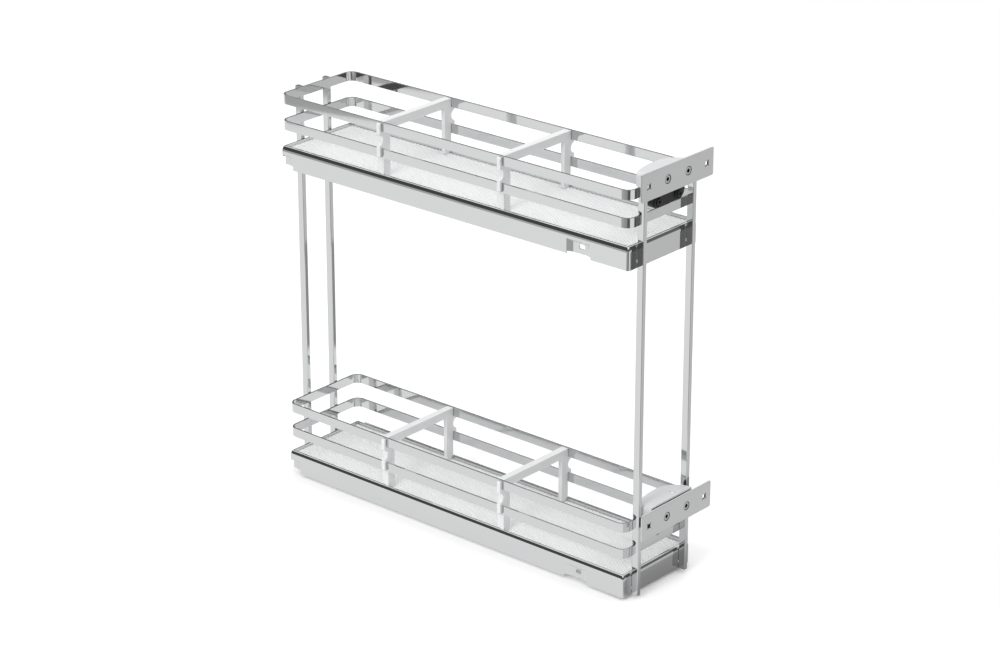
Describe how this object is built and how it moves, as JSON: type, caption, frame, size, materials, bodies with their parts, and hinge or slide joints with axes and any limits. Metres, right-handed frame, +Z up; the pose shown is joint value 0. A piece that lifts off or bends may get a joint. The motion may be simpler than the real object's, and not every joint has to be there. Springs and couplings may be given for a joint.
{
  "type": "pull out larder unit",
  "caption": "Narrow pull-out larder with chromed trays and flat rails on welded posts, ball runners, sliding dividers and adjustable door brackets.",
  "frame": {"origin": "middle of the lower runner's screw line, on the face that bears on the cabinet side", "axes": "+X across the unit towards the cabinet side that carries it, -Y towards the door, +Z up"},
  "size_m": [0.122, 0.493, 0.457],
  "materials": {
    "chrome": "bright chrome plate on steel strip and sheet",
    "mat": "soft white mat with fine slanting ribs",
    "milky_plastic": "milky white moulding with a satin surface",
    "satin_steel": "satin zinc-plated sheet steel",
    "zinc_steel": "bright zinc plate on steel",
    "bearing_steel": "polished balls in a zinc-plated cage",
    "black_zinc": "black cast metal and black oxide bolts, half gloss",
    "black_plastic": "black moulding"
  },
  "bodies": {
    "cabinet_side": {"lower_cabinet_runner": "zinc_steel", "upper_cabinet_runner": "zinc_steel"},
    "larder": {"lower_tray": "chrome", "lower_mat": "mat", "upper_tray": "chrome", "upper_mat": "mat", "lower_middle_rail": "chrome", "lower_top_rail": "chrome", "upper_middle_rail": "chrome", "upper_top_rail": "chrome", "front_left_post": "chrome", "front_right_post": "chrome", "rear_left_post": "chrome", "rear_right_post": "chrome", "lower_tray_runner": "zinc_steel", "lower_catch": "black_plastic", "upper_tray_runner": "zinc_steel", "upper_catch": "black_plastic"},
    "lower_front_divider": {"lower_front_divider": "milky_plastic"},
    "lower_rear_divider": {"lower_rear_divider": "milky_plastic"},
    "upper_front_divider": {"upper_front_divider": "milky_plastic"},
    "upper_rear_divider": {"upper_rear_divider": "milky_plastic"},
    "lower_clamp": {"lower_clamp_body": "black_zinc", "lower_clamp_back": "black_zinc", "lower_clamp_screws": "black_zinc", "lower_bracket_cover": "milky_plastic"},
    "lower_door_plate": {"lower_door_plate": "satin_steel", "lower_plate_spacers": "zinc_steel", "lower_plate_bolts": "zinc_steel", "lower_plate_nuts": "zinc_steel"},
    "upper_clamp": {"upper_clamp_body": "black_zinc", "upper_clamp_back": "black_zinc", "upper_clamp_screws": "black_zinc", "upper_bracket_cover": "milky_plastic"},
    "upper_door_plate": {"upper_door_plate": "satin_steel", "upper_plate_spacers": "zinc_steel", "upper_plate_bolts": "zinc_steel", "upper_plate_nuts": "zinc_steel"},
    "lower_middle_runner": {"lower_middle_runner": "zinc_steel"},
    "lower_outer_cage": {"lower_outer_cage": "bearing_steel"},
    "lower_inner_cage": {"lower_inner_cage": "bearing_steel"},
    "upper_middle_runner": {"upper_middle_runner": "zinc_steel"},
    "upper_outer_cage": {"upper_outer_cage": "bearing_steel"},
    "upper_inner_cage": {"upper_inner_cage": "bearing_steel"}
  },
  "joints": [
    {"name": "pull_out", "type": "slide", "parent": "cabinet_side", "child": "larder", "axis": [0, -1, 0], "range_m": [0, 0.43]},
    {"name": "lower_middle_runner_travel", "type": "slide", "parent": "cabinet_side", "child": "lower_middle_runner", "axis": [0, -1, 0], "range_m": [0, 0.215]},
    {"name": "lower_outer_cage_travel", "type": "slide", "parent": "cabinet_side", "child": "lower_outer_cage", "axis": [0, -1, 0], "range_m": [0, 0.1075]},
    {"name": "lower_inner_cage_travel", "type": "slide", "parent": "cabinet_side", "child": "lower_inner_cage", "axis": [0, -1, 0], "range_m": [0, 0.3225]},
    {"name": "upper_middle_runner_travel", "type": "slide", "parent": "cabinet_side", "child": "upper_middle_runner", "axis": [0, -1, 0], "range_m": [0, 0.215]},
    {"name": "upper_outer_cage_travel", "type": "slide", "parent": "cabinet_side", "child": "upper_outer_cage", "axis": [0, -1, 0], "range_m": [0, 0.1075]},
    {"name": "upper_inner_cage_travel", "type": "slide", "parent": "cabinet_side", "child": "upper_inner_cage", "axis": [0, -1, 0], "range_m": [0, 0.3225]},
    {"name": "lower_front_divider_slide", "type": "slide", "parent": "larder", "child": "lower_front_divider", "axis": [0, 1, 0], "range_m": [-0.14, 0.07]},
    {"name": "lower_rear_divider_slide", "type": "slide", "parent": "larder", "child": "lower_rear_divider", "axis": [0, 1, 0], "range_m": [-0.07, 0.12]},
    {"name": "upper_front_divider_slide", "type": "slide", "parent": "larder", "child": "upper_front_divider", "axis": [0, 1, 0], "range_m": [-0.14, 0.07]},
    {"name": "upper_rear_divider_slide", "type": "slide", "parent": "larder", "child": "upper_rear_divider", "axis": [0, 1, 0], "range_m": [-0.07, 0.12]},
    {"name": "lower_side_adjust", "type": "slide", "parent": "larder", "child": "lower_clamp", "axis": [1, 0, 0], "range_m": [-0.001, 0.003]},
    {"name": "lower_height_adjust", "type": "slide", "parent": "lower_clamp", "child": "lower_door_plate", "axis": [0, 0, 1], "range_m": [0, 0.008]},
    {"name": "upper_side_adjust", "type": "slide", "parent": "larder", "child": "upper_clamp", "axis": [1, 0, 0], "range_m": [-0.004, 0.012]},
    {"name": "upper_height_adjust", "type": "slide", "parent": "upper_clamp", "child": "upper_door_plate", "axis": [0, 0, 1], "range_m": [-0.008, 0]}
  ],
  "couplings": [
    {"joint": "lower_middle_runner_travel", "follows": "pull_out", "ratio": 0.5},
    {"joint": "lower_outer_cage_travel", "follows": "pull_out", "ratio": 0.25},
    {"joint": "lower_inner_cage_travel", "follows": "pull_out", "ratio": 0.75},
    {"joint": "upper_middle_runner_travel", "follows": "pull_out", "ratio": 0.5},
    {"joint": "upper_outer_cage_travel", "follows": "pull_out", "ratio": 0.25},
    {"joint": "upper_inner_cage_travel", "follows": "pull_out", "ratio": 0.75}
  ]
}
